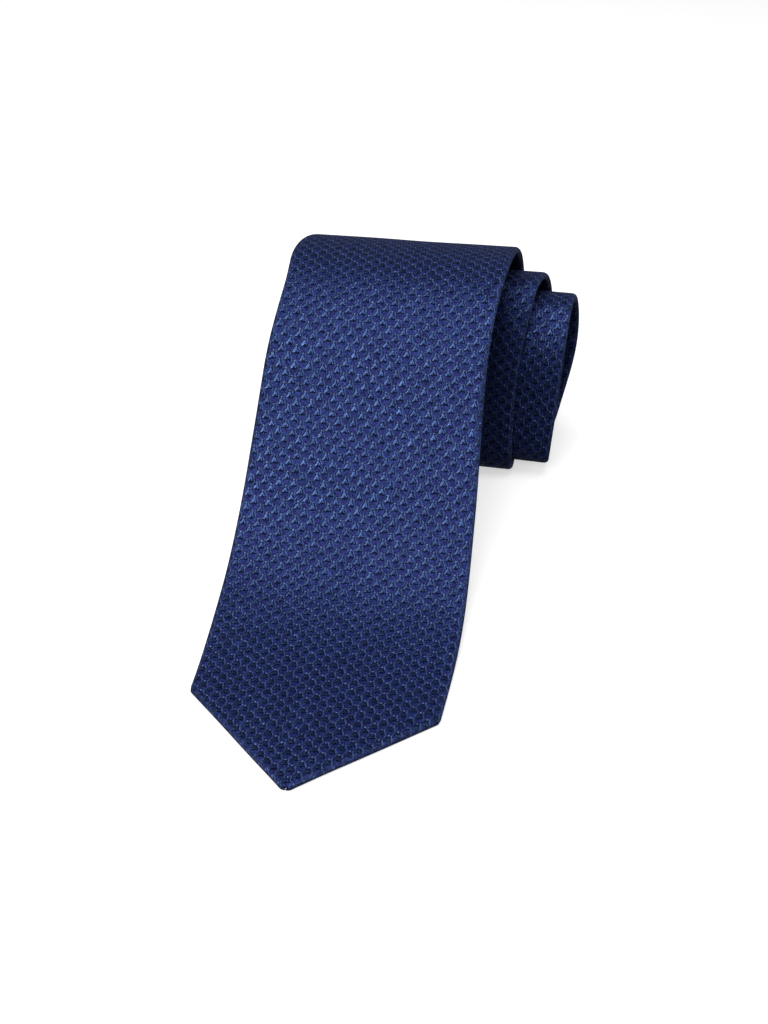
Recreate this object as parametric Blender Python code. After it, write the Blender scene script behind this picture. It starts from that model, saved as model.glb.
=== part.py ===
"""A necktie, wound on itself and stood on its edge.

The wide blade lies flat at its point, climbs a slope and passes over the top of
a standing roll. Behind it the rest of the tie winds inwards, seven turns, with
the narrow end in the middle. +X runs across the tie, +Y from the point of the
blade towards the roll, +Z up. The origin is on the ground under the middle of
the whole piece.

The tie is a flat tube. From its face inwards it is: outer fabric, interlining,
tipping (only behind the two points), and the two flaps of the outer fabric that
meet along the middle of the back, where one long slip stitch closes them.
Everything is swept along one line that runs through the middle of the tie.
"""
import math

import bmesh
import bpy
import numpy as np

for old in list(bpy.data.objects):
    bpy.data.objects.remove(old, do_unlink=True)

MM = 0.001

# ---- thickness of the layers, mm, measured from the middle of the tie ----
FACE_OUT = 1.40          # face of the outer fabric
FACE_IN = 1.00           # its inner side
LINING_TOP = 0.80        # interlining
LINING_BOTTOM = -0.35
TIPPING_TOP = -0.55      # tipping
TIPPING_BOTTOM = -0.77
BACK_IN = -1.00          # flaps on the back
BACK_OUT = -1.40
TRIM_GAP = 0.30          # between the back and what is sewn on it

# ---- widths, mm ----
SIDE_WALL = 0.60         # fold of the fabric at each side edge
SLIT_HALF = 0.70         # half of the gap between the two flaps
HEM = 11.0               # width of the hem round each point
BLADE_CLOSE = 118.0      # where the flaps meet behind the blade
TAIL_CLOSE = 62.0        # the same, from the narrow end

# ---- the winding, mm ----
GROUND = 1.60            # height of the middle of the tie where it lies flat
WAIST = 42.0             # height at which the layers of the roll stand vertical
TURNS = 7
PITCH = 3.5              # from one layer of the roll to the next
ROLL_BACK = 264.0        # outermost layer behind
ROLL_FRONT = 208.5       # outermost layer in front
CROWN_TILT = 0.04        # the crowns of the roll rise a little towards +X

# slope of the blade: distance from the point, angle to the ground in degrees
BLADE_SLOPE = [(0, 0), (52, 0), (75, 5.4), (95, 15.3), (115, 35), (140, 50),
               (170, 54.8), (190, 54.9), (205, 42), (220, 20), (237, 0)]
# crown of each inner turn: distance behind the point, height
CROWNS = [(222.0, 78.6), (227.0, 69.8), (229.5, 66.2), (231.0, 62.6),
          (232.2, 59.1), (233.0, 55.6), (233.6, 52.1)]
# right-hand edge of the tie: distance along it, distance from the centre line
RIGHT_EDGE = [(45, 42.0), (88, 43.0), (136, 41.5), (195, 39.2), (238, 41.4),
              (300, 43.5), (400, 47.8), (460, 47.6), (499, 52.5), (540, 56.2),
              (640, 62.6), (712, 65.8), (743, 67.3), (783, 61.4), (850, 58.0),
              (1000, 55.0), (1500, 55.0)]
# full width of the tie along it
WIDTH = [(45, 83.0), (97, 86.0), (136, 84.2), (182, 80.9), (219, 79.6),
         (238, 82.0), (300, 77.5), (400, 71.0), (499, 66.0), (600, 61.0),
         (712, 54.5), (783, 50.0), (900, 42.0), (1000, 36.0), (1100, 34.0),
         (1250, 34.0), (1340, 40.0), (1500, 43.0)]
POINT_START = 2.6        # both points are cut blunt here
POINT_HALF = 1.5

BLADE_SHELL_END = 770.0
NECK_SHELL_END = 1075.0
SEAM_GAP = 0.4


def curve_through(table, x):
    """Smooth curve through the rows of a table (cubic, with central slopes)."""
    t = np.array(table, float)
    xs, ys = t[:, 0], t[:, 1]
    m = np.gradient(ys, xs)
    x = min(max(x, xs[0]), xs[-1])
    i = int(min(np.searchsorted(xs, x, side="right") - 1, len(xs) - 2))
    h = xs[i + 1] - xs[i]
    s = (x - xs[i]) / h
    return float((2 * s ** 3 - 3 * s ** 2 + 1) * ys[i] + (s ** 3 - 2 * s ** 2 + s) * h * m[i]
                 + (3 * s ** 2 - 2 * s ** 3) * ys[i + 1] + (s ** 3 - s ** 2) * h * m[i + 1])


def blade_line():
    """Middle of the tie from the point of the blade to the crown of the roll."""
    knots = np.array(BLADE_SLOPE, float)
    s = np.arange(0.0, knots[-1, 0] + 0.5, 1.0)
    angle = np.radians(np.interp(s, knots[:, 0], knots[:, 1]))
    w = np.hanning(13)
    angle = np.convolve(np.pad(angle, 6, mode="edge"), w / w.sum(), "valid")
    mid = (angle[1:] + angle[:-1]) / 2
    y = np.concatenate([[0.0], np.cumsum(np.cos(mid))])
    z = np.concatenate([[0.0], np.cumsum(np.sin(mid))])
    return np.stack([y, z + GROUND], 1)


def quarter(cy, cz, a, b, kind, power, steps=40):
    """A quarter of a rounded box: 0 crown to back, 1 back to ground,
    2 ground to front, 3 front to crown."""
    t = np.linspace(0.0, math.pi / 2, steps)
    c, s = np.cos(t) ** (2.0 / power), np.sin(t) ** (2.0 / power)
    y, z = {0: (cy + a * s, cz + b * c), 1: (cy + a * c, cz - b * s),
            2: (cy - a * s, cz - b * c), 3: (cy - a * c, cz + b * s)}[kind]
    return np.stack([y, z], 1)


def centre_line():
    blade = blade_line()
    parts = [blade]
    crown = (blade[-1, 0], blade[-1, 1])
    for k in range(TURNS + 1):
        back, front = ROLL_BACK - PITCH * k, ROLL_FRONT + PITCH * k
        ground = GROUND + PITCH * k
        middle = (back + front) / 2
        parts.append(quarter(crown[0], WAIST, back - crown[0], crown[1] - WAIST, 0, 2.1))
        parts.append(quarter(middle, WAIST, back - middle, WAIST - ground, 1, 4.0))
        parts.append(quarter(middle, WAIST, middle - front, WAIST - ground, 2, 5.5 if k < TURNS else 4.0))
        if k < TURNS:
            nxt = CROWNS[k]
            parts.append(quarter(nxt[0], WAIST, nxt[0] - front, nxt[1] - WAIST, 3, 2.3))
            crown = nxt
    pts = np.concatenate(parts)
    step = np.hypot(*np.diff(pts, axis=0).T)
    keep = np.concatenate([[True], step > 1e-7])
    pts = pts[keep]
    dist = np.concatenate([[0.0], np.cumsum(np.hypot(*np.diff(pts, axis=0).T))])
    s = np.arange(0.0, dist[-1], 0.5)
    return s, np.interp(s, dist, pts[:, 0]), np.interp(s, dist, pts[:, 1])


S, Y, Z = centre_line()
LENGTH = float(S[-1])
# the direction of the line, evened out over 2 mm
ky = np.convolve(np.pad(Y, 2, mode="edge"), np.ones(5) / 5, "valid")
kz = np.convolve(np.pad(Z, 2, mode="edge"), np.ones(5) / 5, "valid")
ANGLE = np.unwrap(np.arctan2(np.gradient(kz), np.gradient(ky)))


def at(s):
    y, z, a = (float(np.interp(s, S, v)) for v in (Y, Z, ANGLE))
    return y, z, a


def edges(s):
    """Left and right edge of the tie at a distance s from the blade's point."""
    right = curve_through(RIGHT_EDGE, s)
    left = right - curve_through(WIDTH, s)
    if s < 45:
        f = (s - POINT_START) / (45 - POINT_START)
        r45 = curve_through(RIGHT_EDGE, 45)
        l45 = r45 - curve_through(WIDTH, 45)
        right = POINT_HALF + (r45 - POINT_HALF) * f
        left = -POINT_HALF + (l45 + POINT_HALF) * f
    rest = LENGTH - POINT_START - s
    corner = 21.0
    if rest < corner:
        mid, half = (left + right) / 2, (right - left) / 2
        half = POINT_HALF + (half - POINT_HALF) * max(rest, 0.0) / corner
        left, right = mid - half, mid + half
    return left, right


def window(s):
    """Half of the gap between the flaps on the back."""
    left, right = edges(s)
    half = (right - left) / 2
    gap = SLIT_HALF
    if s < BLADE_CLOSE:
        gap = max(gap, min(half - HEM, (BLADE_CLOSE - s) * 0.55))
    rest = LENGTH - s
    if rest < TAIL_CLOSE:
        gap = max(gap, min(half - HEM * 0.7, (TAIL_CLOSE - rest) * 0.5))
    return min(gap, half - SIDE_WALL - 0.35)


def point(s, x, n):
    """World point at distance s along the tie, x across it, n out of its face."""
    y, z, a = at(s)
    y, z = y - n * math.sin(a), z + n * math.cos(a)
    t = min(max((z - 40.0) / 60.0, 0.0), 1.0)
    z += CROWN_TILT * x * t * t * (3 - 2 * t)
    return (x * MM, y * MM, z * MM)


def stations(s0, s1, sag=0.12, longest=14.0):
    """Places along the tie, closer together where it bends."""
    marks = [m for m in (45.0, LENGTH - POINT_START - 21.0) if s0 + 1 < m < s1 - 1]
    out, s = [s0], s0
    while s < s1 - 1e-6:
        near = np.abs(S - s - 1.5) < 2.5
        i = np.where(near)[0]
        turn = abs(ANGLE[i[-1]] - ANGLE[i[0]]) / max(S[i[-1]] - S[i[0]], 1e-6)
        step = longest if turn < 1e-5 else math.sqrt(8 * sag / turn)
        step = min(max(step, 1.6), longest)
        # do not jump over a bend that starts inside the step
        ahead = np.interp(s + step, S, ANGLE) - np.interp(s, S, ANGLE)
        while abs(ahead) * step / 8 > sag * 1.3 and step > 1.6:
            step *= 0.8
            ahead = np.interp(s + step, S, ANGLE) - np.interp(s, S, ANGLE)
        n = s + step
        for m in marks:
            if s + 0.5 < m < n + 0.8:
                n = m
        if n > s1 - 1.0:
            n = s1
        out.append(n)
        s = n
    return out


def material(name, colour, roughness):
    m = bpy.data.materials.new(name)
    m.use_nodes = True
    p = m.node_tree.nodes["Principled BSDF"]
    p.inputs["Base Color"].default_value = (*colour, 1.0)
    p.inputs["Roughness"].default_value = roughness
    p.inputs["Metallic"].default_value = 0.0
    m.diffuse_color = (*colour, 1.0)
    return m


SILK = material("blue_silk", (0.025, 0.065, 0.30), 0.42)
CANVAS = material("interlining_canvas", (0.80, 0.78, 0.72), 0.90)
LINING = material("tipping_lining", (0.020, 0.040, 0.16), 0.35)
THREAD = material("sewing_thread", (0.020, 0.045, 0.20), 0.55)
LABEL = material("woven_label", (0.045, 0.055, 0.11), 0.60)
CARE = material("care_label", (0.86, 0.86, 0.84), 0.55)


def sweep(name, places, section, mat):
    """Closed solid through the same ring of points at each place.
    section(s) gives (x, n) pairs, counter-clockwise seen along +s."""
    mesh = bpy.data.meshes.new(name)
    bm = bmesh.new()
    rings = [[bm.verts.new(point(s, x, n)) for x, n in section(s)] for s in places]
    for a, b in zip(rings, rings[1:]):
        for i in range(len(a)):
            j = (i + 1) % len(a)
            bm.faces.new((a[i], a[j], b[j], b[i]))
    bm.faces.new(list(reversed(rings[0])))
    bm.faces.new(rings[-1])
    bmesh.ops.recalc_face_normals(bm, faces=bm.faces)
    bmesh.ops.triangulate(bm, faces=bm.faces)
    bm.to_mesh(mesh)
    bm.free()
    mesh.shade_smooth()
    mesh.set_sharp_from_angle(angle=math.radians(40))
    mesh.materials.append(mat)
    obj = bpy.data.objects.new(name, mesh)
    bpy.context.scene.collection.objects.link(obj)
    return obj


def shell_section(s):
    """Outer fabric: a face, two folded side edges and two flaps on the back."""
    left, right = edges(s)
    mid, gap = (left + right) / 2, window(s)
    return [(mid - gap, BACK_OUT), (left, BACK_OUT), (left, FACE_OUT),
            (right, FACE_OUT), (right, BACK_OUT), (mid + gap, BACK_OUT),
            (mid + gap, BACK_IN), (right - SIDE_WALL, BACK_IN), (right - SIDE_WALL, FACE_IN),
            (left + SIDE_WALL, FACE_IN), (left + SIDE_WALL, BACK_IN), (mid - gap, BACK_IN)]


def band(inset, top, bottom):
    """Flat layer that keeps a distance from both side edges."""
    def section(s):
        left, right = edges(s)
        return [(left + inset, bottom), (left + inset, top), (right - inset, top), (right - inset, bottom)]
    return section


def strip(half, top, bottom):
    """Flat strip of one width on the middle of the tie."""
    def section(s):
        left, right = edges(s)
        mid = (left + right) / 2
        return [(mid - half, bottom), (mid - half, top), (mid + half, top), (mid + half, bottom)]
    return section


# ---- outer fabric, three pieces joined end to end ----
sweep("blade_shell", stations(POINT_START, BLADE_SHELL_END), shell_section, SILK)
sweep("neck_shell", stations(BLADE_SHELL_END + SEAM_GAP, NECK_SHELL_END), shell_section, SILK)
sweep("tail_shell", stations(NECK_SHELL_END + SEAM_GAP, LENGTH - POINT_START), shell_section, SILK)

# ---- inside ----
sweep("interlining", stations(8.0, LENGTH - 8.0), band(1.0, LINING_TOP, LINING_BOTTOM), CANVAS)
sweep("blade_tipping", stations(10.0, BLADE_CLOSE + 8.0), band(1.4, TIPPING_TOP, TIPPING_BOTTOM), LINING)
sweep("tail_tipping", stations(LENGTH - TAIL_CLOSE - 8.0, LENGTH - 10.0), band(1.4, TIPPING_TOP, TIPPING_BOTTOM), LINING)

# ---- what is sewn on the back ----
TRIM_TOP = BACK_OUT - TRIM_GAP
sweep("keeper_loop", stations(174.0, 186.0), strip(22.0, TRIM_TOP, TRIM_TOP - 0.9), SILK)
sweep("woven_label", stations(136.0, 160.0), strip(14.0, TRIM_TOP, TRIM_TOP - 0.25), LABEL)
sweep("care_label", stations(58.0, 82.0), strip(9.0, TIPPING_BOTTOM - 0.23, TIPPING_BOTTOM - 0.45), CARE)
sweep("slip_stitch", stations(BLADE_CLOSE + 8.0, LENGTH - TAIL_CLOSE - 6.0),
      strip(0.22, BACK_IN - 0.08, BACK_OUT + 0.02), THREAD)
sweep("blade_bar_tack", stations(BLADE_CLOSE + 3.0, BLADE_CLOSE + 4.6),
      strip(4.5, TRIM_TOP, TRIM_TOP - 0.35), THREAD)
sweep("tail_bar_tack", stations(LENGTH - TAIL_CLOSE - 4.6, LENGTH - TAIL_CLOSE - 3.0),
      strip(3.5, TRIM_TOP, TRIM_TOP - 0.35), THREAD)

# ---- origin on the ground, under the middle of the whole piece ----
low = np.full(3, 1e9)
high = np.full(3, -1e9)
for obj in bpy.context.scene.objects:
    co = np.empty(len(obj.data.vertices) * 3, np.float32)
    obj.data.vertices.foreach_get("co", co)
    co = co.reshape(-1, 3)
    low, high = np.minimum(low, co.min(0)), np.maximum(high, co.max(0))
shift = np.array([(low[0] + high[0]) / 2, (low[1] + high[1]) / 2, low[2]])
for obj in bpy.context.scene.objects:
    me = obj.data
    co = np.empty(len(me.vertices) * 3, np.float32)
    me.vertices.foreach_get("co", co)
    co = (co.reshape(-1, 3).astype(float) - shift).astype(np.float32).ravel()
    me.vertices.foreach_set("co", co)
    me.update()
print("tie length", round(LENGTH, 1), "mm; shift", [round(float(v) * 1000, 2) for v in shift],
      "size", [round(float(v) * 1000, 2) for v in high - low],
      "triangles", {o.name: len(o.data.polygons) for o in bpy.context.scene.objects})
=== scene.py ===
"""The looks of the necktie: woven silk, lining, stitches and labels, laid along
the same line as the CAD model, on a plain pale floor.

All lengths in the design tables are in millimetres. A point of the tie is given
by s (distance from the point of the blade), x (across the tie) and n (out of its
face); lay() turns those into metres in the row's frame.
"""
import math

import bpy
import numpy as np
from mathutils import Matrix, Vector


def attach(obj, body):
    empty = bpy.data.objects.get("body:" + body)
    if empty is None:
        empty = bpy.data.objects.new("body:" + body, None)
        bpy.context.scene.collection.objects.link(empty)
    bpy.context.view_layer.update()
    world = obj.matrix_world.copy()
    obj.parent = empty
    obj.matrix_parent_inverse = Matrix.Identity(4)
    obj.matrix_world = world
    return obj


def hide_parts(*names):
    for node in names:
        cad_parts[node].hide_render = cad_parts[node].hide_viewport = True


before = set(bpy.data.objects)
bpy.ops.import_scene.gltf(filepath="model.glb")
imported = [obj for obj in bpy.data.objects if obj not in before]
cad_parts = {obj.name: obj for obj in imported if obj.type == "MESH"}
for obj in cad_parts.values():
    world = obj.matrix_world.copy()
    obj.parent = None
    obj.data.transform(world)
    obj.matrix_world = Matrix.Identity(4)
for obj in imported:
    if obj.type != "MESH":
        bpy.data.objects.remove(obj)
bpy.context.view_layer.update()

MM = 0.001

# ---- thickness of the layers, mm, measured from the middle of the tie ----
FACE_OUT = 1.40          # face of the outer fabric
FACE_IN = 1.00           # its inner side
LINING_TOP = 0.80        # interlining
LINING_BOTTOM = -0.35
TIPPING_TOP = -0.55      # tipping
TIPPING_BOTTOM = -0.77
BACK_IN = -1.00          # flaps on the back
BACK_OUT = -1.40
TRIM_GAP = 0.30          # between the back and what is sewn on it

# ---- widths, mm ----
SIDE_WALL = 0.60         # fold of the fabric at each side edge
SLIT_HALF = 0.70         # half of the gap between the two flaps
HEM = 11.0               # width of the hem round each point
BLADE_CLOSE = 118.0      # where the flaps meet behind the blade
TAIL_CLOSE = 62.0        # the same, from the narrow end

# ---- the winding, mm ----
GROUND = 1.60            # height of the middle of the tie where it lies flat
WAIST = 42.0             # height at which the layers of the roll stand vertical
TURNS = 7
PITCH = 3.5              # from one layer of the roll to the next
ROLL_BACK = 264.0        # outermost layer behind
ROLL_FRONT = 208.5       # outermost layer in front
CROWN_TILT = 0.04        # the crowns of the roll rise a little towards +X

# slope of the blade: distance from the point, angle to the ground in degrees
BLADE_SLOPE = [(0, 0), (52, 0), (75, 5.4), (95, 15.3), (115, 35), (140, 50),
               (170, 54.8), (190, 54.9), (205, 42), (220, 20), (237, 0)]
# crown of each inner turn: distance behind the point, height
CROWNS = [(222.0, 78.6), (227.0, 69.8), (229.5, 66.2), (231.0, 62.6),
          (232.2, 59.1), (233.0, 55.6), (233.6, 52.1)]
# right-hand edge of the tie: distance along it, distance from the centre line
RIGHT_EDGE = [(45, 42.0), (88, 43.0), (136, 41.5), (195, 39.2), (238, 41.4),
              (300, 43.5), (400, 47.8), (460, 47.6), (499, 52.5), (540, 56.2),
              (640, 62.6), (712, 65.8), (743, 67.3), (783, 61.4), (850, 58.0),
              (1000, 55.0), (1500, 55.0)]
# full width of the tie along it
WIDTH = [(45, 83.0), (97, 86.0), (136, 84.2), (182, 80.9), (219, 79.6),
         (238, 82.0), (300, 77.5), (400, 71.0), (499, 66.0), (600, 61.0),
         (712, 54.5), (783, 50.0), (900, 42.0), (1000, 36.0), (1100, 34.0),
         (1250, 34.0), (1340, 40.0), (1500, 43.0)]
POINT_START = 2.6        # both points are cut blunt here
POINT_HALF = 1.5

BLADE_SHELL_END = 770.0
NECK_SHELL_END = 1075.0
SEAM_GAP = 0.4


def curve_through(table, x):
    """Smooth curve through the rows of a table (cubic, with central slopes)."""
    t = np.array(table, float)
    xs, ys = t[:, 0], t[:, 1]
    m = np.gradient(ys, xs)
    x = min(max(x, xs[0]), xs[-1])
    i = int(min(np.searchsorted(xs, x, side="right") - 1, len(xs) - 2))
    h = xs[i + 1] - xs[i]
    s = (x - xs[i]) / h
    return float((2 * s ** 3 - 3 * s ** 2 + 1) * ys[i] + (s ** 3 - 2 * s ** 2 + s) * h * m[i]
                 + (3 * s ** 2 - 2 * s ** 3) * ys[i + 1] + (s ** 3 - s ** 2) * h * m[i + 1])


def blade_line():
    """Middle of the tie from the point of the blade to the crown of the roll."""
    knots = np.array(BLADE_SLOPE, float)
    s = np.arange(0.0, knots[-1, 0] + 0.5, 1.0)
    angle = np.radians(np.interp(s, knots[:, 0], knots[:, 1]))
    w = np.hanning(13)
    angle = np.convolve(np.pad(angle, 6, mode="edge"), w / w.sum(), "valid")
    mid = (angle[1:] + angle[:-1]) / 2
    y = np.concatenate([[0.0], np.cumsum(np.cos(mid))])
    z = np.concatenate([[0.0], np.cumsum(np.sin(mid))])
    return np.stack([y, z + GROUND], 1)


def quarter(cy, cz, a, b, kind, power, steps=40):
    """A quarter of a rounded box: 0 crown to back, 1 back to ground,
    2 ground to front, 3 front to crown."""
    t = np.linspace(0.0, math.pi / 2, steps)
    c, s = np.cos(t) ** (2.0 / power), np.sin(t) ** (2.0 / power)
    y, z = {0: (cy + a * s, cz + b * c), 1: (cy + a * c, cz - b * s),
            2: (cy - a * s, cz - b * c), 3: (cy - a * c, cz + b * s)}[kind]
    return np.stack([y, z], 1)


def centre_line():
    blade = blade_line()
    parts = [blade]
    crown = (blade[-1, 0], blade[-1, 1])
    for k in range(TURNS + 1):
        back, front = ROLL_BACK - PITCH * k, ROLL_FRONT + PITCH * k
        ground = GROUND + PITCH * k
        middle = (back + front) / 2
        parts.append(quarter(crown[0], WAIST, back - crown[0], crown[1] - WAIST, 0, 2.1))
        parts.append(quarter(middle, WAIST, back - middle, WAIST - ground, 1, 4.0))
        parts.append(quarter(middle, WAIST, middle - front, WAIST - ground, 2, 5.5 if k < TURNS else 4.0))
        if k < TURNS:
            nxt = CROWNS[k]
            parts.append(quarter(nxt[0], WAIST, nxt[0] - front, nxt[1] - WAIST, 3, 2.3))
            crown = nxt
    pts = np.concatenate(parts)
    step = np.hypot(*np.diff(pts, axis=0).T)
    keep = np.concatenate([[True], step > 1e-7])
    pts = pts[keep]
    dist = np.concatenate([[0.0], np.cumsum(np.hypot(*np.diff(pts, axis=0).T))])
    s = np.arange(0.0, dist[-1], 0.5)
    return s, np.interp(s, dist, pts[:, 0]), np.interp(s, dist, pts[:, 1])


S, Y, Z = centre_line()
LENGTH = float(S[-1])
# the direction of the line, evened out over 2 mm
ky = np.convolve(np.pad(Y, 2, mode="edge"), np.ones(5) / 5, "valid")
kz = np.convolve(np.pad(Z, 2, mode="edge"), np.ones(5) / 5, "valid")
ANGLE = np.unwrap(np.arctan2(np.gradient(kz), np.gradient(ky)))


def at(s):
    y, z, a = (float(np.interp(s, S, v)) for v in (Y, Z, ANGLE))
    return y, z, a


def edges(s):
    """Left and right edge of the tie at a distance s from the blade's point."""
    right = curve_through(RIGHT_EDGE, s)
    left = right - curve_through(WIDTH, s)
    if s < 45:
        f = (s - POINT_START) / (45 - POINT_START)
        r45 = curve_through(RIGHT_EDGE, 45)
        l45 = r45 - curve_through(WIDTH, 45)
        right = POINT_HALF + (r45 - POINT_HALF) * f
        left = -POINT_HALF + (l45 + POINT_HALF) * f
    rest = LENGTH - POINT_START - s
    corner = 21.0
    if rest < corner:
        mid, half = (left + right) / 2, (right - left) / 2
        half = POINT_HALF + (half - POINT_HALF) * max(rest, 0.0) / corner
        left, right = mid - half, mid + half
    return left, right


def window(s):
    """Half of the gap between the flaps on the back."""
    left, right = edges(s)
    half = (right - left) / 2
    gap = SLIT_HALF
    if s < BLADE_CLOSE:
        gap = max(gap, min(half - HEM, (BLADE_CLOSE - s) * 0.55))
    rest = LENGTH - s
    if rest < TAIL_CLOSE:
        gap = max(gap, min(half - HEM * 0.7, (TAIL_CLOSE - rest) * 0.5))
    return min(gap, half - SIDE_WALL - 0.35)


# ---- from here on: the looks ----
SHIFT = np.array([12.09, 134.0, 0.2])    # the CAD model's origin, in the coordinates above
REPEAT = 5.35                            # repeat of the woven figure, mm
CLOTH = 0.38                             # thickness of the outer fabric
LAP = 2.4                                # how far the flaps lap over the middle of the back


def many(f, values):
    return np.array([f(float(v)) for v in values])


def smooth(a, b, v):
    t = np.clip((np.asarray(v, float) - a) / (b - a), 0.0, 1.0)
    return t * t * (3 - 2 * t)


def lay(s, x, n):
    """Points in metres from arrays of s, x and n in millimetres."""
    y, z, a = (np.interp(s, S, v) for v in (Y, Z, ANGLE))
    y, z = y - n * np.sin(a), z + n * np.cos(a)
    z = z + CROWN_TILT * x * smooth(40.0, 100.0, z)
    return (np.stack([x, y, z], -1) - SHIFT) * MM


BEND = np.abs(np.gradient(ANGLE, S))
BEND = np.convolve(np.pad(BEND, 2, mode="edge"), np.ones(5) / 5, "valid")


def fine(s0, s1, longest=2.0, turn=0.09, least=0.65):
    """Places along the tie for the fine meshes."""
    out, s = [s0], s0
    while s < s1 - 1e-6:
        b = float(np.interp(s + 0.6, S, BEND))
        s += min(max(turn / max(b, 1e-6), least), longest)
        if s > s1 - 0.3:
            s = s1
        out.append(s)
    return np.array(out)


def ripple(s, x):
    """Slight unevenness of the cloth, mm out of the face."""
    free = 1 - smooth(225.0, 300.0, s)
    slow = (0.16 * np.sin(0.052 * s + 0.031 * x + 0.6) * np.sin(0.071 * x - 0.013 * s + 1.1)
            + 0.09 * np.sin(0.11 * s - 0.083 * x + 2.0) + 0.05 * np.sin(0.19 * x + 0.037 * s))
    # soft puckers where the blade bends up off the ground
    pucker = np.exp(-((s - 92.0 - 0.35 * x) / 26.0) ** 2) * 0.22 * np.sin(0.16 * x - 0.055 * s + 0.5)
    # a soft fold across the middle of the slope
    fold = 1.45 * np.exp(-((s - 147.0 + 0.25 * x) / 11.0) ** 2) * np.exp(-((x + 4.0) / 24.0) ** 2)
    return slow * (0.45 + 0.55 * free) + pucker + fold


def mesh_object(name, verts, quads, mats, weave=None, tris=(), face_mats=None):
    me = bpy.data.meshes.new(name)
    verts = np.array(verts, float)
    verts[:, 2] = np.maximum(verts[:, 2], 0.00004)       # nothing sinks into the ground
    quads = np.asarray(quads, np.int32).reshape(-1, 4)
    tris = np.asarray(tris, np.int32).reshape(-1, 3)
    loops = np.concatenate([quads.ravel(), tris.ravel()])
    sizes = np.concatenate([np.full(len(quads), 4), np.full(len(tris), 3)]).astype(np.int32)
    starts = np.concatenate([[0], np.cumsum(sizes)[:-1]]).astype(np.int32)
    me.vertices.add(len(verts))
    me.vertices.foreach_set("co", np.asarray(verts, np.float32).ravel())
    me.loops.add(len(loops))
    me.loops.foreach_set("vertex_index", loops.astype(np.int32))
    me.polygons.add(len(sizes))
    me.polygons.foreach_set("loop_start", starts)
    if face_mats is not None:
        me.polygons.foreach_set("material_index", np.asarray(face_mats, np.int32))
    if weave is not None:
        layer = me.attributes.new("weave", "FLOAT_VECTOR", "POINT")
        layer.data.foreach_set("vector", np.asarray(weave, np.float32).ravel())
    me.update(calc_edges=True)
    me.validate()
    me.shade_smooth()
    for m in mats if isinstance(mats, (list, tuple)) else [mats]:
        me.materials.append(m)
    obj = bpy.data.objects.new(name, me)
    bpy.context.scene.collection.objects.link(obj)
    return obj


def turned_out(obj):
    """Flips the faces if the closed mesh is inside out."""
    me = obj.data
    n = len(me.polygons)
    area, normal, centre = np.empty(n), np.empty(n * 3), np.empty(n * 3)
    me.polygons.foreach_get("area", area)
    me.polygons.foreach_get("normal", normal)
    me.polygons.foreach_get("center", centre)
    if float((area[:, None] * normal.reshape(-1, 3) * centre.reshape(-1, 3)).sum()) < 0:
        me.flip_normals()
    return obj


def grid_quads(rows, cols, start=0, closed=False):
    """Quads of a grid of rows of points; closed joins the last column to the first."""
    r = np.arange(rows - 1)[:, None]
    c = np.arange(cols if closed else cols - 1)[None, :]
    c2 = (c + 1) % cols
    a, b = r * cols + c, r * cols + c2
    d, e = (r + 1) * cols + c, (r + 1) * cols + c2
    return np.stack([a, b, e, d], -1).reshape(-1, 4) + start


def loft(name, s, rings_x, rings_n, mats, weave=None):
    """Closed solid through a ring of (x, n) at each s; rings_* are (places, points)."""
    rows, cols = rings_x.shape
    v = lay(np.repeat(s[:, None], cols, 1), rings_x, rings_n).reshape(-1, 3)
    quads = grid_quads(rows, cols, closed=True)
    # the two ends, filled as strips between the first and the second half of the ring
    half = cols // 2
    ends = []
    for base, flip in ((0, False), ((rows - 1) * cols, True)):
        for i in range(half - 1):
            q = [base + i, base + i + 1, base + cols - 2 - i, base + cols - 1 - i]
            if i == half - 1:
                continue
            ends.append(q if flip else q[::-1])
    quads = np.concatenate([quads, np.array(ends)])
    return turned_out(mesh_object(name, v, quads, mats, weave))


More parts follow.
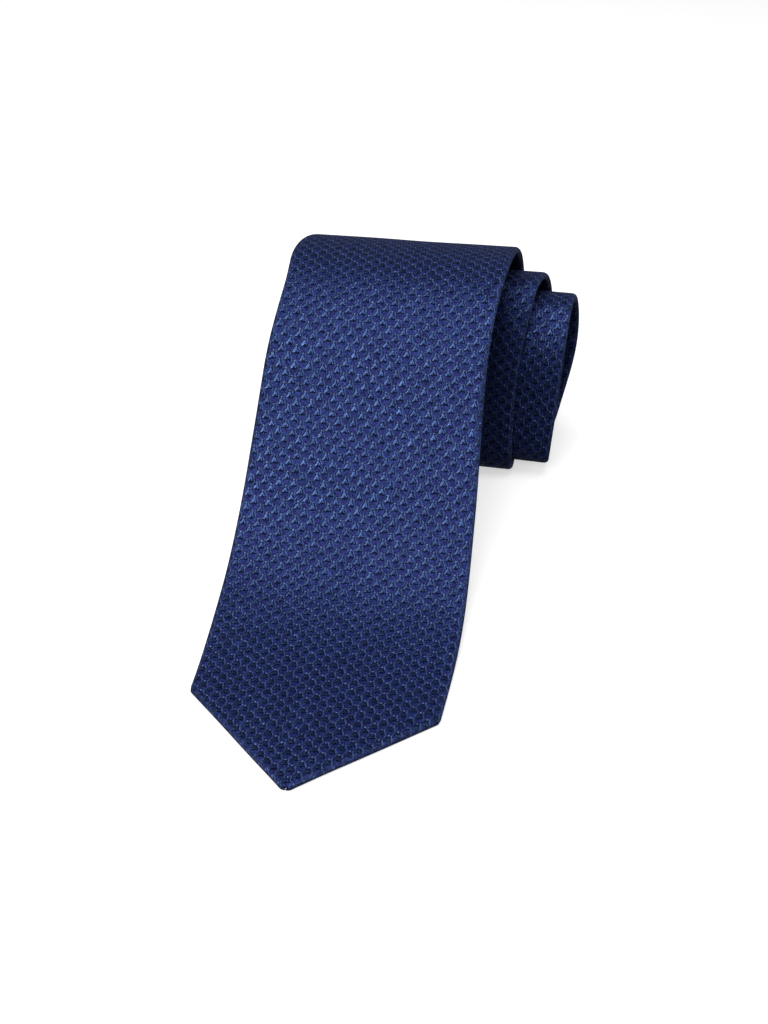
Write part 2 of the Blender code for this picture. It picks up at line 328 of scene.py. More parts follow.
# ---- materials ----
class Graph:
    """Short notation for node arithmetic."""

    def __init__(self, name):
        self.material = bpy.data.materials.new(name)
        self.material.use_nodes = True
        self.tree = self.material.node_tree
        self.surface = self.tree.nodes["Principled BSDF"]

    def node(self, kind, **settings):
        n = self.tree.nodes.new(kind)
        for key, value in settings.items():
            setattr(n, key, value)
        return n

    def put(self, socket, value):
        if isinstance(value, Value):
            value = value.out
        if hasattr(value, "is_output"):
            self.tree.links.new(value, socket)
        else:
            socket.default_value = value

    def math(self, op, *args, clamp=False):
        n = self.node("ShaderNodeMath", operation=op, use_clamp=clamp)
        for i, v in enumerate(args):
            self.put(n.inputs[i], v)
        return Value(self, n.outputs[0])

    def vector(self, x, y, z=0.0):
        n = self.node("ShaderNodeCombineXYZ")
        for i, v in enumerate((x, y, z)):
            self.put(n.inputs[i], v)
        return n.outputs[0]

    def noise(self, x, y, z=0.0, detail=2.0, roughness=0.5):
        n = self.node("ShaderNodeTexNoise", noise_dimensions="3D")
        self.put(n.inputs["Vector"], self.vector(x, y, z))
        n.inputs["Scale"].default_value = 1.0
        n.inputs["Detail"].default_value = detail
        n.inputs["Roughness"].default_value = roughness
        return Value(self, n.outputs[0])

    def mix(self, amount, a, b):
        """Colour a to colour b."""
        n = self.node("ShaderNodeMix", data_type="RGBA", clamp_factor=True)
        self.put(n.inputs[0], amount)
        for socket, v in ((n.inputs[6], a), (n.inputs[7], b)):
            self.put(socket, (*v, 1.0) if isinstance(v, tuple) else v)
        return n.outputs[2]

    def scale_colour(self, colour, amount):
        n = self.node("ShaderNodeVectorMath", operation="SCALE")
        self.tree.links.new(colour, n.inputs[0])
        self.put(n.inputs[3], amount)
        return n.outputs[0]

    def coords(self):
        n = self.node("ShaderNodeAttribute", attribute_type="GEOMETRY", attribute_name="weave")
        s = self.node("ShaderNodeSeparateXYZ")
        self.tree.links.new(n.outputs["Vector"], s.inputs[0])
        return [Value(self, o) for o in s.outputs]

    def bump(self, height, distance, strength=1.0):
        n = self.node("ShaderNodeBump")
        self.put(n.inputs["Height"], height)
        n.inputs["Distance"].default_value = distance
        n.inputs["Strength"].default_value = strength
        self.tree.links.new(n.outputs[0], self.surface.inputs["Normal"])


class Value:
    def __init__(self, graph, out):
        self.g, self.out = graph, out

    def __add__(self, o): return self.g.math("ADD", self, o)
    def __radd__(self, o): return self.g.math("ADD", o, self)
    def __sub__(self, o): return self.g.math("SUBTRACT", self, o)
    def __rsub__(self, o): return self.g.math("SUBTRACT", o, self)
    def __mul__(self, o): return self.g.math("MULTIPLY", self, o)
    def __rmul__(self, o): return self.g.math("MULTIPLY", o, self)
    def __truediv__(self, o): return self.g.math("DIVIDE", self, o)
    def __neg__(self): return self.g.math("MULTIPLY", self, -1.0)
    def abs(self): return self.g.math("ABSOLUTE", self)
    def sin(self): return self.g.math("SINE", self)
    def cos(self): return self.g.math("COSINE", self)
    def round(self): return self.g.math("ROUND", self)
    def clamp(self): return self.g.math("MULTIPLY", self, 1.0, clamp=True)
    def max(self, o): return self.g.math("MAXIMUM", self, o)
    def min(self, o): return self.g.math("MINIMUM", self, o)

    def below(self, limit, soft):
        """1 where the value is under the limit, 0 over it, with a soft step."""
        return self.g.math("MULTIPLY_ADD", self - limit, -1.0 / soft, 0.5, clamp=True)

    def above(self, limit, soft):
        return self.g.math("MULTIPLY_ADD", self - limit, 1.0 / soft, 0.5, clamp=True)


def jacquard(name, reverse=False):
    """Bias-cut silk with a small woven figure: a satin arrowhead with a bright
    tip and a winding stem on each side, in rows half a repeat apart."""
    g = Graph(name)
    u, v, fold = g.coords()
    wander = g.noise(u * 0.06, v * 0.06, 3.0, detail=2.0) - 0.5
    wander2 = g.noise(u * 0.06, v * 0.06, 11.0, detail=2.0) - 0.5
    jitter = g.noise(u * 0.9, v * 0.9, 21.0, detail=1.0) - 0.5
    jitter2 = g.noise(u * 0.9, v * 0.9, 31.0, detail=1.0) - 0.5
    # every thread strays a little, so no edge of the figure is smooth
    stray = g.noise(u * 1.45, v * 1.45, 41.0, detail=1.0) - 0.5
    stray2 = g.noise(u * 1.45, v * 1.45, 51.0, detail=1.0) - 0.5
    a = (u + wander * 1.4 + jitter * 0.55 + stray * 0.55) / REPEAT
    c = (v + wander2 * 1.4 + jitter2 * 0.55 + stray2 * 0.55) / REPEAT
    i, j = a + c, a - c
    ci, cj = i.round(), j.round()
    fi, fj = i - ci, j - cj
    p, q = (fi + fj) * 0.5, (fi - fj) * 0.5          # place inside one figure, -0.5 to 0.5
    each = g.noise(ci * 7.31 + 0.37, cj * 5.17 + 0.71, 2.0, detail=0.0)
    # the satin arrowhead: one broad leg, one thin one, and a notch between them
    outer = (p.abs() - (0.235 - q) * 0.50).below(0.0, 0.045)
    notch = ((p - 0.030).abs() - (-0.025 - q) * 0.60).below(0.0, 0.05)
    left = p.below(-0.03, 0.08)
    head = outer * (1.0 - notch * 0.85) * (q + left * 0.05).above(-0.190, 0.05)
    # painted highlight: the broad left leg of each arrowhead is painted paler
    left_leg_highlight = head * (p * 1.0 + q * -0.10).below(-0.005, 0.10)
    # a pale dot on its tip
    dot = g.math("SQRT", p * p + (q - 0.25) * (q - 0.25)).below(0.055, 0.045)
    # winding stems between the columns
    wave = ((c + 0.30) * (2 * math.pi)).cos() * 0.070
    near = a * 2.0 - 0.5
    near = (near - near.round()) * 0.5                # distance from the lines at 0.25 and 0.75
    sign = g.math("SIGN", (a * (2 * math.pi)).sin())
    stem = (near - wave * sign).abs().below(0.034, 0.045)
    right_side = p.above(0.0, 0.12)
    beads = g.noise(u * 1.25, v * 1.25, 61.0, detail=1.0).above(0.46, 0.22)
    stem = stem * (right_side * 0.55 + 0.45) * (beads * 0.75 + 0.25)
    # recesses at the sides of the figure and under it
    halo = (p.abs() - (0.33 - q) * 0.52).below(0.0, 0.06) * q.above(-0.30, 0.06) * q.below(0.24, 0.08)
    shade = (halo - outer * q.above(-0.185, 0.05)).clamp()
    under = g.math("SQRT", (p + 0.02) * (p + 0.02) + (q + 0.20) * (q + 0.20) * 2.2).below(0.105, 0.07)
    shade = shade.max(under * 0.9) * (1.0 - dot)
    # weft showing between two figures of a row
    gap_p, gap_q = 0.5 - p.abs(), 0.5 - q.abs()
    hole = (g.math("SQRT", gap_p * gap_p * 1.7 + q * q * 0.9).below(0.14, 0.10)).max(
        g.math("SQRT", gap_q * gap_q * 0.9 + p * p * 1.7).below(0.14, 0.10))
    # single threads, warp one way and weft the other
    t1 = ((u + v) * (2 * math.pi / 0.62)).sin()
    t2 = ((u - v) * (2 * math.pi / 0.66)).sin()
    cross = t1 * t2
    grain = g.noise(u * 1.7, v * 1.7, 0.0, detail=3.0, roughness=0.65)
    slub = g.noise((u + v) * 1.1, (u - v) * 0.16, 5.0, detail=2.0)
    slub2 = g.noise((u + v) * 0.16, (u - v) * 1.1, 8.0, detail=2.0)
    flecks = (grain - 0.5) * 2.2 + (slub - 0.5) * 1.3 + (slub2 - 0.5) * 1.3 + cross * 0.40

    ground = g.mix((flecks * 1.3 + 0.50).clamp(), GROUND_A, GROUND_B)
    specks = g.noise((u + v) * 0.8, (u - v) * 1.8, 71.0, detail=1.0)
    colour = g.mix(hole * specks.above(0.50, 0.12) * 0.9, ground, VIOLET)
    colour = g.mix(specks.below(0.45, 0.10) * 0.65, colour, DARK)
    colour = g.mix(shade * 0.97, colour, DARK)
    colour = g.mix(stem * (grain * 1.1 + 0.30), colour, STEM)
    colour = g.mix(head * 0.92, colour, HEAD)
    # painted highlight on the left leg of the figure
    colour = g.mix(left_leg_highlight * 0.55, colour, HIGHLIGHT_BLUE)
    colour = g.mix(dot * (each * 0.9 + 0.35), colour, DOT)
    if reverse:
        colour = g.mix(0.55, colour, GROUND_A)
    # painted highlight: the pressed side folds are painted paler, as where they catch the light
    fold_highlight = fold * (grain * 0.9 + 0.05)
    colour = g.mix(fold_highlight * 0.55, colour, HIGHLIGHT_BLUE)
    # the tone varies at random, and the painted fold highlight also brightens the colour here
    colour = g.scale_colour(colour, (flecks * 0.72 + 1.0 + (each - 0.5) * 0.8 * head + fold_highlight * 0.5).max(0.10))
    g.put(g.surface.inputs["Base Color"], colour)
    metal = (head * (HEAD_METAL - 0.38) + 0.38 + hole * 0.10 - stem * 0.30 - dot * 0.30).clamp()
    g.put(g.surface.inputs["Metallic"], metal * (0.4 if reverse else 1.0))
    rough = 0.52 - head * (0.52 - HEAD_ROUGH) + (grain - 0.5) * 0.12
    g.put(g.surface.inputs["Roughness"], rough)
    height = head * 0.15 + stem * 0.5 + dot * 0.6 - shade * 0.35 + t1 * 0.10 * (1.0 - head) + t2 * 0.12 + (grain - 0.5) * 0.7
    g.bump(height, 0.00016, 0.8)
    g.surface.inputs["Specular IOR Level"].default_value = 0.05
    return g.material


def plain(name, colour, colour2, pitch=(0.5, 0.5), kind="plain", rough=0.6, depth=0.00012, strength=0.6, sheen=0.1):
    """Cloth and thread: fine threads in two directions with uneven tone."""
    g = Graph(name)
    u, v, _ = g.coords()
    if kind == "twill":
        t1 = ((u + v) * (2 * math.pi / pitch[0])).sin()
        t2 = (v * (2 * math.pi / pitch[1])).sin() * 0.35
    else:
        t1 = (u * (2 * math.pi / pitch[0])).sin()
        t2 = (v * (2 * math.pi / pitch[1])).sin()
    if kind == "plain":
        over = t1 * t2
    else:
        over = t1
    grain = g.noise(u * 1.8, v * 1.8, 2.0, detail=3.0)
    slow = g.noise(u * 0.08, v * 0.08, 6.0, detail=2.0)
    colour_out = g.mix((over * 0.35 + 0.5 + (slow - 0.5) * 0.6).clamp(), colour, colour2)
    colour_out = g.scale_colour(colour_out, grain * 0.5 + 0.75)
    g.put(g.surface.inputs["Base Color"], colour_out)
    g.put(g.surface.inputs["Roughness"], (grain * 0.15 + (rough - 0.08)).clamp())
    g.bump(t1 * 0.5 + t2 * 0.5 + grain * 0.6, depth, strength)
    g.surface.inputs["Sheen Weight"].default_value = sheen
    g.surface.inputs["Specular IOR Level"].default_value = 0.35
    return g


GROUND_A, GROUND_B = (0.0013, 0.0055, 0.0420), (0.0180, 0.0355, 0.1420)
VIOLET = (0.0240, 0.0150, 0.0880)
DARK = (0.0002, 0.0009, 0.0090)
STEM = (0.056, 0.080, 0.172)
HEAD = (0.0180, 0.0330, 0.0890)
# paler blue of the painted highlights on the figures' left legs and on the side folds
HIGHLIGHT_BLUE = (0.040, 0.062, 0.138)
DOT = (0.100, 0.132, 0.255)
HEAD_METAL, HEAD_ROUGH = 0.94, 0.33

SILK = jacquard("woven_silk")
SILK_BACK = jacquard("woven_silk_reverse", reverse=True)
CANVAS = plain("interlining_canvas", (0.62, 0.59, 0.50), (0.80, 0.78, 0.70), (0.9, 0.9), rough=0.9, depth=0.0003).material
LINING = plain("tipping_satin", (0.010, 0.022, 0.110), (0.020, 0.040, 0.170), (0.55, 0.30), kind="twill", rough=0.38).material
THREAD = plain("sewing_thread", (0.016, 0.030, 0.150), (0.040, 0.070, 0.260), (0.30, 0.9), kind="twill", rough=0.5).material
KNIT_LABEL = plain("label_damask", (0.020, 0.026, 0.070), (0.045, 0.055, 0.120), (0.36, 0.50), rough=0.5)
CARE_CLOTH = plain("care_ribbon", (0.74, 0.74, 0.71), (0.86, 0.86, 0.83), (0.30, 0.45), rough=0.5, depth=0.0001).material


def bordered(g):
    """A woven border of two fine lines round the label, without any words."""
    u, v, _ = g.coords()
    # u runs -14..14 and v -12..12 on the label
    d = (14.0 - u.abs()).min(12.0 - v.abs())
    line = (d - 2.1).abs().below(0.22, 0.12).max((d - 3.0).abs().below(0.12, 0.1))
    diamond = (u.abs() * 0.75 + v.abs() - 4.2).abs().below(0.20, 0.14)
    leaf = ((u * 1.6).sin() * 1.1 + (v * 1.6).sin() * 1.1).abs().below(0.35, 0.3) * (u.abs() * 0.75 + v.abs()).below(3.6, 0.3)
    mask = line.max(diamond).max(leaf * 0.8)
    link = g.surface.inputs["Base Color"].links[0].from_socket
    g.put(g.surface.inputs["Base Color"], g.mix(mask * 0.9, link, (0.30, 0.33, 0.42)))
    return g.material


LABEL = bordered(KNIT_LABEL)

# ---- the outer fabric ----
FACE_POINTS, EDGE_POINTS, BACK_POINTS = 37, 9, 13


def shell(name, s0, s1, point_at=None):
    """One piece of the outer fabric: flap, fold, face, fold, flap, with thickness."""
    s = fine(s0, s1)
    if point_at == "start":
        s = np.unique(np.concatenate([s0 + np.array([0, .12, .3, .55, .85, 1.2]), s[s > s0 + 1.5]]))
    if point_at == "end":
        s = np.unique(np.concatenate([s[s < s1 - 1.5], s1 - np.array([0, .12, .3, .55, .85, 1.2])]))
    left, right = many(edges, s).T
    mid, half = (left + right) / 2, (right - left) / 2
    gap = many(window, s)
    slant = np.gradient(mid, s)
    # half of the thickness, drawn in at the points and at the joining seams
    T = np.full(len(s), 1.40)
    before, after = s - s0, s1 - s
    for where, is_point in ((before, point_at == "start"), (after, point_at == "end")):
        if is_point:
            f = np.clip(where / 1.4, 0, 1)
            T = T * (0.25 + 0.75 * np.sqrt(1 - (1 - f) ** 2))
        else:
            T = T - (0.24 if where is not before else 0.30) * (1 - smooth(0.0, 1.5, where))
    closed = smooth(BLADE_CLOSE - 2, BLADE_CLOSE + 8, s) * (1 - smooth(LENGTH - TAIL_CLOSE - 8, LENGTH - TAIL_CLOSE + 2, s))
    gap = np.maximum(gap - 0.5, 0.15)
    free_l = mid - gap * (1 - closed) + LAP * 0.9 * closed      # edge of the flap that goes under
    free_r = mid + gap * (1 - closed) - LAP * closed            # edge of the flap that lies over
    er = np.minimum(1.9, half * 0.62)

    def back(free, inner_end, under):
        """Points from a flap's free edge to where the side fold begins."""
        t = np.linspace(0, 1, BACK_POINTS) ** 1.35
        x = free[:, None] + (inner_end - free)[:, None] * t[None, :]
        d = np.abs(x - mid[:, None])
        over = (1 - smooth(LAP + 0.4, LAP + 3.6, np.where((x - mid[:, None]) * (1 if not under else -1) < 0, 0.0, d)))
        lift = (0.42 if under else -0.20) * over * closed[:, None]
        return x, -T[:, None] + lift

    t = np.linspace(0, math.pi, EDGE_POINTS + 2)[1:-1]
    lx, ln = back(free_l, left + er, True)
    rx, rn = back(free_r, right - er, False)
    el_x = (left + er)[:, None] - er[:, None] * np.sin(t)[None, :]
    el_n = -T[:, None] * np.cos(t)[None, :]
    f = np.linspace(-1, 1, FACE_POINTS)
    f = np.sin(f * math.pi / 2 * 0.93) / math.sin(math.pi / 2 * 0.93)
    fx = mid[:, None] + (half - er)[:, None] * f[None, :]
    fn = T[:, None] * np.ones_like(f)[None, :]
    er_x = (right - er)[:, None] + er[:, None] * np.sin(t)[None, :]
    er_n = T[:, None] * np.cos(t)[None, :]
    X = np.concatenate([lx, el_x, fx, er_x, rx[:, ::-1]], 1)
    N = np.concatenate([ln, el_n, fn, er_n, rn[:, ::-1]], 1)
    # cloth coordinates: unfolded distance from the middle of the face
    step = np.hypot(np.diff(X, axis=1), np.diff(N, axis=1))
    U = np.concatenate([np.zeros((len(s), 1)), np.cumsum(step, 1)], 1)
    U -= U[:, BACK_POINTS + EDGE_POINTS + FACE_POINTS // 2][:, None]
    V = s[:, None] + slant[:, None] * (X - mid[:, None])
    # the inner side, along the normal of the outline
    dx, dn = np.gradient(X, axis=1), np.gradient(N, axis=1)
    ln_ = np.maximum(np.hypot(dx, dn), 1e-9)
    nx, nn = dn / ln_, -dx / ln_
    thick = np.minimum(CLOTH, 0.42 * T)[:, None] * np.ones_like(X)
    hem_l = 1 - smooth(4.0, 5.0, np.abs(X - free_l[:, None]))
    hem_r = 1 - smooth(4.0, 5.0, np.abs(X - free_r[:, None]))
    is_back = N < -0.5 * T[:, None]
    thick = thick + 0.10 * np.where(is_back, np.maximum(hem_l * (1 - closed[:, None]), hem_r), 0.0)
    thick = np.minimum(thick, 0.6 * T[:, None])
    IX, IN = X + nx * thick, N + nn * thick
    body = ripple(s[:, None], X)
    calm = np.minimum(smooth(0, 14, s - POINT_START), 1.0)[:, None] * 0.85 + 0.15
    keep = np.where(N > 0, 1.0, 0.85)
    N2, IN2 = N + body * calm, IN + body * calm
    if s0 < 10:      # nothing goes under the ground where the blade lies on it
        floor_n = -1.42
        low = (1 - smooth(48.0, 62.0, s))[:, None]
        N2 = np.where(low > 0, np.maximum(N2, floor_n * low + -9 * (1 - low)), N2)
        IN2 = np.where(low > 0, np.maximum(IN2, (floor_n + 0.3) * low + -9 * (1 - low)), IN2)
    ring_x = np.concatenate([X, IX[:, ::-1]], 1)
    ring_n = np.concatenate([N2, IN2[:, ::-1]], 1)
    ring_u = np.concatenate([U, U[:, ::-1]], 1)
    ring_v = np.concatenate([V, V[:, ::-1]], 1)
    # how near the pressed side folds, 1 on the fold itself; the silk's painted fold highlight follows it
    nothing = [np.zeros(BACK_POINTS), np.zeros(FACE_POINTS)]
    fold = np.concatenate([nothing[0], np.sin(t), nothing[1], np.sin(t), nothing[0]]) * np.ones_like(U)
    weave = np.stack([ring_u, ring_v, np.concatenate([fold, fold * 0.0], 1)], -1).reshape(-1, 3)
    obj = loft(name, s, ring_x, ring_n, [SILK, SILK_BACK], weave)
    me = obj.data
    # the reverse of the cloth on the inner side
    cols = ring_x.shape[1]
    idx = np.empty(len(me.loops), np.int32)
    me.loops.foreach_get("vertex_index", idx)
    first = np.empty(len(me.polygons), np.int32)
    me.polygons.foreach_get("loop_start", first)
    inner = (idx % cols) >= cols // 2
    count = np.add.reduceat(inner.astype(int), first)
    me.polygons.foreach_set("material_index", (count >= 3).astype(np.int32))
    width = float((U[:, -1] - U[:, 0]).max())
    area = float(np.trapezoid(U[:, -1] - U[:, 0], s)) if hasattr(np, "trapezoid") else float(np.trapz(U[:, -1] - U[:, 0], s))
    return obj, width, area


def declare(obj, node):
    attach(obj, "root")
    if node:
        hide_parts(node)


TURN_IN = 5.0        # extra cloth turned under at the flaps' edges
for name, node, s0, s1, at_point, rests in (
        ("silk_blade", "blade_shell", POINT_START, BLADE_SHELL_END + 0.35, "start", ["interlining"]),
        ("silk_neck", "neck_shell", BLADE_SHELL_END, NECK_SHELL_END + 0.35, None, ["interlining"]),
        ("silk_tail", "tail_shell", NECK_SHELL_END, LENGTH - POINT_START, "end", ["interlining"])):
    piece, width, area = shell(name, s0, s1, at_point)
    flat = (round((width + 2 * TURN_IN) * MM, 4), round((s1 - s0) * MM, 4))
    area = round((area + 2 * TURN_IN * (s1 - s0)) * MM * MM, 5)
    print("sheet", name, "flat", flat, "area", area, "faces", len(piece.data.polygons))
    declare(piece, node)


# ---- flat layers inside ----
def layer(name, node, slot, mat, s0, s1, inset, top, bottom, held, rests_on, columns=31, wave=0.0, longest=3.0):
    s = fine(s0, s1, longest, 0.11, 0.8)
    left, right = many(edges, s).T
    a, b = left + inset, right - inset
    mid = (a + b) / 2
    f = np.linspace(-1, 1, columns)
    X = mid[:, None] + ((b - a) / 2)[:, None] * f[None, :]
    w = ripple(s[:, None], X) * 0.9 + wave * np.sin(0.31 * s[:, None] + 0.23 * X) * np.sin(0.17 * X)
    edge = np.sqrt(np.clip(1 - np.abs(f) ** 24, 0, 1))[None, :]
    centre = (top + bottom) / 2
    up, down = centre + (top - centre) * edge + w, centre + (bottom - centre) * edge + w
    # rounded edges share one point, so keep a little thickness there
    least = 0.03
    up = np.maximum(up, centre + w + least)
    down = np.minimum(down, centre + w - least)
    U = X - mid[:, None]
    V = s[:, None] * np.ones_like(X)
    ring_x = np.concatenate([X, X[:, ::-1]], 1)
    ring_n = np.concatenate([up, down[:, ::-1]], 1)
    weave = np.stack([np.concatenate([U, U[:, ::-1]], 1), np.concatenate([V, V[:, ::-1]], 1), np.zeros_like(ring_x)], -1).reshape(-1, 3)
    obj = loft(name, s, ring_x, ring_n, mat, weave)
    flat = (round(float((b - a).max()) * MM, 4), round((s1 - s0) * MM, 4))
    area = float(np.sum((b - a)[1:] * np.diff(s))) * MM * MM
    area = round(max(min(area, flat[0] * flat[1]), 0.3 * flat[0] * flat[1]), 6)
    print("sheet", name, "flat", flat, "area", area, "faces", len(obj.data.polygons))
    declare(obj, node)
    return obj


layer("canvas_interlining", "interlining", "canvas", CANVAS, 8.0, LENGTH - 8.0, 1.7, 0.80, -0.35, "folded",
      ["blade_shell", "neck_shell", "tail_shell"], columns=23, longest=4.0)
layer("satin_blade_tipping", "blade_tipping", "lining", LINING, 10.0, BLADE_CLOSE + 8.0, 2.0, -0.55, -0.77,
      "laid", ["interlining"], columns=41, wave=0.03)
layer("satin_tail_tipping", "tail_tipping", "lining", LINING, LENGTH - TAIL_CLOSE - 8.0, LENGTH - 10.0, 2.0, -0.55, -0.77,
      "laid", ["interlining"], columns=25)


# ---- pieces sewn on the back ----
def middle(s):
    left, right = edges(float(s))
    return (left + right) / 2


def slab(name, mat, s0, s1, half, height, thick, round_edge=0.3, columns=41, rows=25, tuck=0.0):
    """Thin sewn-on cloth: height(s, x) is its outer side, thick its thickness."""
    s = np.linspace(s0, s1, rows)
    f = np.linspace(-1, 1, columns)
    X = half * np.ones((rows, 1)) * f[None, :]
    Srow = s[:, None] * np.ones((1, columns))
    top = height(Srow, X)
    # rounded towards all four edges
    d = np.minimum(half - np.abs(X), np.minimum(Srow - s0, s1 - Srow))
    r = np.sqrt(np.clip(1 - (1 - np.clip(d / round_edge, 0, 1)) ** 2, 0, 1))
    centre = top + thick / 2
    h = thick / 2 * (0.35 + 0.65 * r)
    mid = np.array([middle(v) for v in s])[:, None]
    ring_x = np.concatenate([mid + X, (mid + X)[:, ::-1]], 1)
    ring_n = np.concatenate([centre - h, (centre + h)[:, ::-1]], 1)
    U = np.concatenate([X, X[:, ::-1]], 1)
    V = np.concatenate([Srow, Srow[:, ::-1]], 1)
    V = V - (s0 + s1) / 2
    weave = np.stack([U, V, np.zeros_like(U)], -1).reshape(-1, 3)
    return loft(name, s, ring_x, ring_n, mat, weave)


def threads(name, runs, radius, sides=7):
    """Thread: each run is a list of (s, x, n), made into a closed round tube."""
    verts, quads, tris, weave = [], [], [], []
    for run in runs:
        p = np.array(run, float)
        w = lay(p[:, 0], p[:, 1], p[:, 2])
        tangent = np.gradient(w, axis=0)
        tangent /= np.linalg.norm(tangent, axis=1)[:, None] + 1e-12
        up = np.array([0.3, 0.5, 0.8])
        base = len(verts)
        dist = np.concatenate([[0], np.cumsum(np.linalg.norm(np.diff(w, axis=0), axis=1))]) / MM
        for k in range(len(w)):
            a = np.cross(tangent[k], up)
            a /= np.linalg.norm(a)
            b = np.cross(tangent[k], a)
            for m in range(sides):
                th = 2 * math.pi * m / sides
                verts.append(w[k] + radius * MM * (math.cos(th) * a + math.sin(th) * b))
                weave.append((m * 0.2, dist[k], 0.0))
        rows = len(w)
        quads.append(grid_quads(rows, sides, base, closed=True))
        for first, sign in ((base, 1), (base + (rows - 1) * sides, -1)):
            c = len(verts)
            verts.append(w[0] if sign == 1 else w[-1])
            weave.append((0.0, 0.0, 0.0))
            for m in range(sides):
                t = (first + (m + 1) % sides, first + m, c)
                tris.append(t if sign == 1 else t[::-1])
    obj = mesh_object(name, np.array(verts), np.concatenate(quads), THREAD, np.array(weave), tris)
    return turned_out(obj)


# keeper loop: a folded band of the same silk, arched a little off the back
def keeper_height(s, x):
    arch = 1 - smooth(4.0, 20.0, np.abs(x))
    return -1.66 - 0.74 - 0.42 * arch + 0.0 * s


def folded_band(name, mat, s_mid, width, half, height, thick, cloth, columns=61):
    """A flat tube of cloth lying across the tie: a band folded from a wider strip."""
    x = np.linspace(-half, half, columns)
    top = height(s_mid, x)
    rings = []
    for inset in (0.0, cloth):
        w, h = width / 2 - inset, thick / 2 - inset
        r = min(h, w)
        side = np.linspace(-math.pi / 2, math.pi / 2, 8)
        ring_s = np.concatenate([(w - r) + r * np.cos(side), np.linspace(w - r, -(w - r), 9)[1:-1],
                                 -(w - r) - r * np.cos(side), np.linspace(-(w - r), w - r, 9)[1:-1]])
        ring_n = np.concatenate([h * np.sin(side), np.full(7, h), -h * np.sin(side), np.full(7, -h)])
        rings.append((ring_s, ring_n))
    k = len(rings[0][0])
    verts, weave = [], []
    for ring_s, ring_n in rings:
        around = np.concatenate([[0], np.cumsum(np.hypot(np.diff(ring_s), np.diff(ring_n)))])
        squeeze = 1 - 0.25 * smooth(half - 3.0, half, np.abs(x))
        s_all = s_mid + ring_s[None, :] * np.ones((columns, 1)) + 0.12 * np.sin(0.5 * x)[:, None]
        n_all = (top + thick / 2)[:, None] + ring_n[None, :] * squeeze[:, None]
        m = middle(s_mid)
        verts.append(lay(s_all, m + x[:, None] * np.ones((1, k)), n_all).reshape(-1, 3))
        weave.append(np.stack([x[:, None] * np.ones((1, k)), around[None, :] * np.ones((columns, 1)), np.zeros((columns, k))], -1).reshape(-1, 3))
    n0 = columns * k
    quads = [grid_quads(columns, k, 0, closed=True), grid_quads(columns, k, n0, closed=True)[:, ::-1]]
    for first, flip in ((0, False), ((columns - 1) * k, True)):
        e = np.array([[first + i, first + (i + 1) % k, n0 + first + (i + 1) % k, n0 + first + i] for i in range(k)])
        quads.append(e if flip else e[:, ::-1])
    return turned_out(mesh_object(name, np.concatenate(verts), np.concatenate(quads), mat, np.concatenate(weave)))


keeper = folded_band("silk_keeper_loop", SILK, 180.0, 11.6, 22.0, keeper_height, 0.74, 0.28)
sew = []
for side in (-1, 1):
    for k in range(9):
        s = 175.0 + k * 1.22
        x = middle(180.0) + side * (20.8 + 0.25 * (k % 2))
        sew.append([(s, x - 0.5 * side, -2.42), (s + 0.15, x, -2.50), (s + 0.3, x + 1.0 * side, -2.44), (s + 0.35, x + 1.7 * side, -1.75)])
keeper_thread = threads("keeper_stitches", sew, 0.13)
declare(keeper, "keeper_loop")
declare(keeper_thread, None)

# label, held down by small stitches at its ends
label = slab("damask_label", LABEL, 136.0, 160.0, 14.0,
             lambda s, x: -1.93 - 0.03 * np.cos(0.4 * (s - 148)) - 0.02 * np.sin(0.5 * x), 0.24, 0.2, 61, 49)
sew = []
for side in (-1, 1):
    for k in range(16):
        s = 137.0 + k * 1.46
        x = middle(148.0) + side * 12.9
        sew.append([(s, x - 0.4 * side, -1.95), (s + 0.1, x, -2.02), (s + 0.2, x + 0.9 * side, -1.98), (s + 0.25, x + 1.35 * side, -1.66)])
label_thread = threads("label_stitches", sew, 0.11)
declare(label, "woven_label")
declare(label_thread, None)

care = slab("ribbon_care_label", CARE_CLOTH, 58.0, 82.0, 9.0,
            lambda s, x: -1.19 - 0.05 * np.cos(0.35 * (s - 66)), 0.2, 0.15, 31, 41)
declare(care, "care_label")

# the long slip stitch that closes the back
runs = []
s = BLADE_CLOSE + 8.5
k = 0
while s < LENGTH - TAIL_CLOSE - 7.0:
    m = middle(s) - LAP
    bump_n = float(ripple(s, m))
    runs.append([(s, m - 0.75, -1.36 + bump_n), (s + 0.5, m - 0.35, -1.56 + bump_n), (s + 1.3, m + 0.15, -1.70 + bump_n),
                 (s + 2.1, m + 0.6, -1.68 + bump_n), (s + 2.5, m + 0.8, -1.50 + bump_n)])
    s += 6.2 + 0.5 * math.sin(1.7 * k)
    k += 1
stitches = threads("slip_stitches", runs, 0.10, 6)
declare(stitches, "slip_stitch")


# bar tacks: long threads wrapped over by many short ones
def bar(name, node, s_mid, half):
    m = middle(s_mid)
    runs = []
    for off in (-0.35, 0.0, 0.35):
        runs.append([(s_mid + off, m + f * half, -1.74 - 0.10 * math.cos(f * 1.4)) for f in np.linspace(-1, 1, 9)])
    count = int(half * 2 / 0.34)
    for k in range(count):
        x = m - half * 0.92 + k * (half * 1.84) / (count - 1)
        lean = 0.10 * (-1) ** k
        runs.append([(s_mid - 0.95, x - lean, -1.66), (s_mid - 0.6, x - lean * 0.6, -1.92), (s_mid, x, -2.02),
                     (s_mid + 0.6, x + lean * 0.6, -1.92), (s_mid + 0.95, x + lean, -1.66)])
    obj = threads(name, runs, 0.15, 7)
    declare(obj, node)
    return obj


bar("blade_tack_threads", "blade_bar_tack", BLADE_CLOSE + 3.8, 4.5)
bar("tail_tack_threads", "tail_bar_tack", LENGTH - TAIL_CLOSE - 3.8, 3.5)

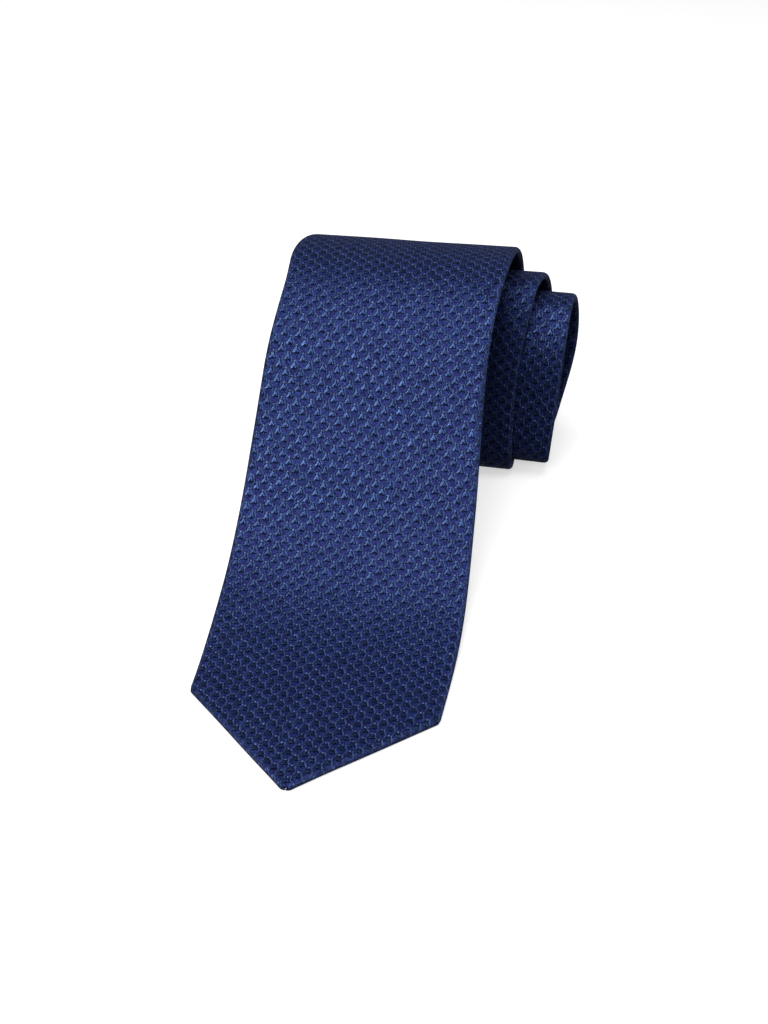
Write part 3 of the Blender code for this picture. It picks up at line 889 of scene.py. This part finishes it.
# ---- floor ----
me = bpy.data.meshes.new("floor")
me.from_pydata([(-5, -5, 0), (5, -5, 0), (5, 7, 0), (-5, 7, 0)], [], [(0, 1, 2, 3)])
floor = bpy.data.objects.new("floor", me)
bpy.context.scene.collection.objects.link(floor)
paper = bpy.data.materials.new("pale_floor")
paper.use_nodes = True
bsdf = paper.node_tree.nodes["Principled BSDF"]
bsdf.inputs["Base Color"].default_value = (0.55, 0.55, 0.55, 1)
bsdf.inputs["Emission Color"].default_value = (1.0, 1.0, 1.0, 1)
bsdf.inputs["Emission Strength"].default_value = 0.58
bsdf.inputs["Roughness"].default_value = 0.9
bsdf.inputs["Specular IOR Level"].default_value = 0.1
me.materials.append(paper)
# the bright floor stays out of the silk's reflections, as paper far outside the light would
floor.visible_glossy = False
floor.visible_diffuse = False

# ---- light ----
world = bpy.data.worlds.new("studio")
bpy.context.scene.world = world
world.use_nodes = True
world.node_tree.nodes["Background"].inputs["Color"].default_value = (1.0, 1.0, 1.0, 1)
world.node_tree.nodes["Background"].inputs["Strength"].default_value = 0.15


def lamp(name, where, to, size, power, colour=(1, 1, 1)):
    data = bpy.data.lights.new(name, "AREA")
    data.shape = "RECTANGLE"
    data.size, data.size_y = size
    data.energy = power
    data.color = colour
    obj = bpy.data.objects.new(name, data)
    bpy.context.scene.collection.objects.link(obj)
    aim = Vector(to) - Vector(where)
    obj.matrix_world = Matrix.Translation(where) @ aim.to_track_quat("-Z", "Y").to_matrix().to_4x4()
    return obj


lamp("front_softbox", (-0.32, -1.07, 0.90), (0, 0, 0.04), (0.9, 0.5), 21.5)
lamp("overhead_softbox", (-0.05, -0.15, 1.25), (0, 0, 0.0), (1.2, 0.8), 13.5)
lamp("side_softbox", (1.05, 0.10, 0.60), (0, 0, 0.05), (0.4, 0.4), 2.5)

# ---- camera ----
cam_data = bpy.data.cameras.new("camera")
cam = bpy.data.objects.new("camera", cam_data)
bpy.context.scene.collection.objects.link(cam)
look = Vector((-0.12108, 0.84956, -0.51338))
right_axis = Vector((0.98999, 0.14109, 0.0))
up_axis = Vector((-0.07243, 0.50824, 0.85815))
roll_c, roll_s = 0.99904, 0.04371
cr = roll_c * right_axis + roll_s * up_axis
cu = -roll_s * right_axis + roll_c * up_axis
cam.matrix_world = Matrix((
    (cr.x, cu.x, -look.x, 0.07368),
    (cr.y, cu.y, -look.y, -0.54557),
    (cr.z, cu.z, -look.z, 0.35353),
    (0, 0, 0, 1)))
cam_data.sensor_width = 36.0
cam_data.sensor_fit = "AUTO"
cam_data.lens = 62.67
cam_data.clip_start = 0.01
cam_data.clip_end = 50.0
bpy.context.scene.camera = cam
bpy.context.scene.view_settings.view_transform = "Standard"
